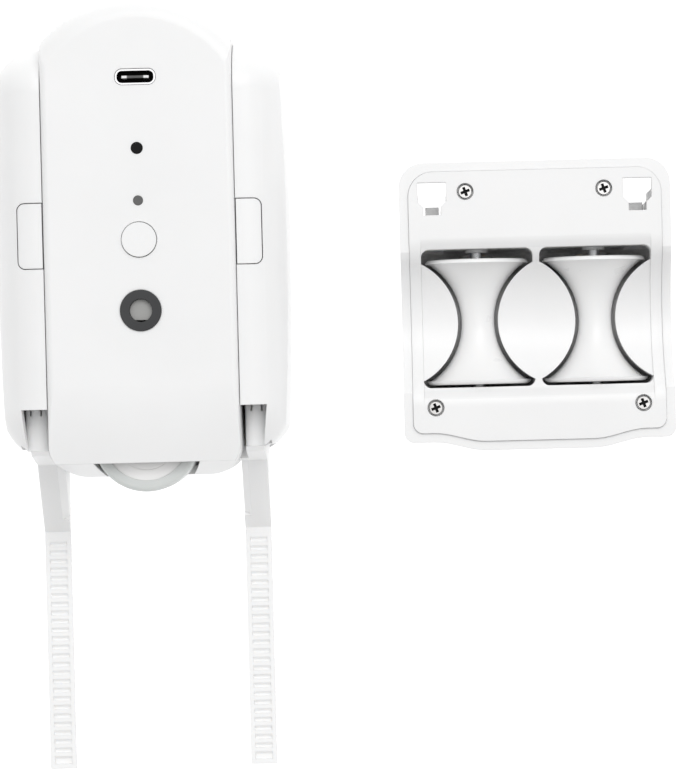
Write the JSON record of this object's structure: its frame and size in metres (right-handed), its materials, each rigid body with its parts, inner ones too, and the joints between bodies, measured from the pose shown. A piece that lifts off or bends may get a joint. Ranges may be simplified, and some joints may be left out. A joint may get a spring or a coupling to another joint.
{
  "type": "curtain rod drive",
  "caption": "Curtain rod drive: a rounded white motor unit with a rubber drive wheel and two toothed strap arms, beside a screwed clamp with hourglass rollers.",
  "frame": {"origin": "centre of the motor unit's flat back face, directly under the main button", "axes": "+X to the right across the unit, +Y from the drive wheel end to the round end, +Z out of the front face"},
  "size_m": [0.1628, 0.1873, 0.0485],
  "materials": {
    "white_shell": "smooth white moulded plastic",
    "clamp_white": "smooth white moulded plastic",
    "button_white": "smooth white moulded plastic",
    "arm_white": "white nylon, slightly satin",
    "roller_white": "smooth white acetal",
    "tyre_grey": "pale grey translucent silicone rubber",
    "hub_white": "white plastic",
    "steel": "bright steel",
    "screw_steel": "plated screw steel",
    "port_metal": "stamped nickel shell",
    "black_plastic": "black plastic",
    "bezel_grey": "dark grey ring",
    "led_grey": "unlit smoked lens",
    "sensor_cell": "grey light sensor cell",
    "board_green": "solder mask",
    "cell_wrap": "shrink wrap",
    "cradle_grey": "grey plastic",
    "motor_can": "drawn steel can",
    "brass": "machined brass",
    "gear_white": "white acetal",
    "pawl_grey": "grey acetal"
  },
  "bodies": {
    "motor_unit": {"rear_housing": "white_shell", "left_wing_cover": "white_shell", "right_wing_cover": "white_shell", "front_cover": "white_shell", "housing_screws": "screw_steel", "usb_port_shell": "port_metal", "usb_port_tongue": "black_plastic", "indicator_window": "black_plastic", "status_led": "led_grey", "light_sensor_bezel": "bezel_grey", "light_sensor_cell": "sensor_cell", "main_circuit_board": "board_green", "board_chips": "black_plastic", "tact_switch": "black_plastic", "left_battery_cell": "cell_wrap", "right_battery_cell": "cell_wrap", "battery_cradle": "cradle_grey", "gearbox_case": "cradle_grey", "drive_motor": "motor_can", "wheel_bearings": "steel", "left_arm_spring": "steel", "right_arm_spring": "steel"},
    "button": {"main_button": "button_white"},
    "left_release": {"left_release_button": "button_white"},
    "right_release": {"right_release_button": "button_white"},
    "left_strap": {"left_arm": "arm_white"},
    "right_strap": {"right_arm": "arm_white"},
    "wheel": {"drive_wheel_hub": "hub_white", "drive_wheel_tyre": "tyre_grey", "wheel_axle": "steel", "output_gear": "gear_white"},
    "idler": {"idler_gear": "gear_white"},
    "pinion": {"motor_pinion": "brass"},
    "clamp": {"clamp_shell": "clamp_white", "clamp_plate": "clamp_white", "clamp_screws": "screw_steel", "left_roller_axle": "steel", "right_roller_axle": "steel", "left_pawl_pin": "steel", "right_pawl_pin": "steel"},
    "left_roller_body": {"left_roller": "roller_white"},
    "right_roller_body": {"right_roller": "roller_white"},
    "left_pawl_body": {"left_pawl": "pawl_grey"},
    "right_pawl_body": {"right_pawl": "pawl_grey"}
  },
  "joints": [
    {"name": "wheel_spin", "type": "hinge", "parent": "motor_unit", "child": "wheel", "pos_m": [0, -0.0474, 0.033], "axis": [0, 0, 1], "continuous": true},
    {"name": "idler_spin", "type": "hinge", "parent": "motor_unit", "child": "idler", "pos_m": [0, -0.0324, 0.0206], "axis": [0, 0, 1], "continuous": true},
    {"name": "pinion_spin", "type": "hinge", "parent": "motor_unit", "child": "pinion", "pos_m": [0, -0.0198, 0.0206], "axis": [0, 0, 1], "continuous": true},
    {"name": "button_press", "type": "slide", "parent": "motor_unit", "child": "button", "axis": [0, 0, -1], "range_m": [0, 0.0005], "stiffness_N_per_m": 300, "springref_m": -0.0005},
    {"name": "left_release_press", "type": "slide", "parent": "motor_unit", "child": "left_release", "axis": [0, 0, -1], "range_m": [0, 0.0015], "stiffness_N_per_m": 200, "springref_m": -0.001},
    {"name": "right_release_press", "type": "slide", "parent": "motor_unit", "child": "right_release", "axis": [0, 0, -1], "range_m": [0, 0.0015], "stiffness_N_per_m": 200, "springref_m": -0.001},
    {"name": "left_arm_slide", "type": "slide", "parent": "motor_unit", "child": "left_strap", "axis": [0, -1, 0], "range_m": [0, 0.01], "stiffness_N_per_m": 50, "springref_m": -0.01},
    {"name": "right_arm_slide", "type": "slide", "parent": "motor_unit", "child": "right_strap", "axis": [0, -1, 0], "range_m": [0, 0.01], "stiffness_N_per_m": 50, "springref_m": -0.01},
    {"name": "clamp_lift", "type": "slide", "parent": "motor_unit", "child": "clamp", "axis": [0, 0, 1], "range_m": [0, 0.06]},
    {"name": "left_roller_spin", "type": "hinge", "parent": "clamp", "child": "left_roller_body", "pos_m": [0.08055, -0.0212, 0.0152], "axis": [0, 1, 0], "continuous": true},
    {"name": "right_roller_spin", "type": "hinge", "parent": "clamp", "child": "right_roller_body", "pos_m": [0.10935, -0.0212, 0.0152], "axis": [0, 1, 0], "continuous": true},
    {"name": "left_pawl_swing", "type": "hinge", "parent": "clamp", "child": "left_pawl_body", "pos_m": [0.06995, 0.0043, 0.007], "axis": [1, 0, 0], "range_deg": [0, 8], "stiffness_Nm_per_rad": 0.005, "springref_deg": -5.73},
    {"name": "right_pawl_swing", "type": "hinge", "parent": "clamp", "child": "right_pawl_body", "pos_m": [0.11995, 0.0043, 0.007], "axis": [1, 0, 0], "range_deg": [0, 8], "stiffness_Nm_per_rad": 0.005, "springref_deg": -5.73}
  ],
  "couplings": [
    {"joint": "idler_spin", "follows": "wheel_spin", "ratio": -0.66667},
    {"joint": "pinion_spin", "follows": "wheel_spin", "ratio": 1.6667}
  ]
}
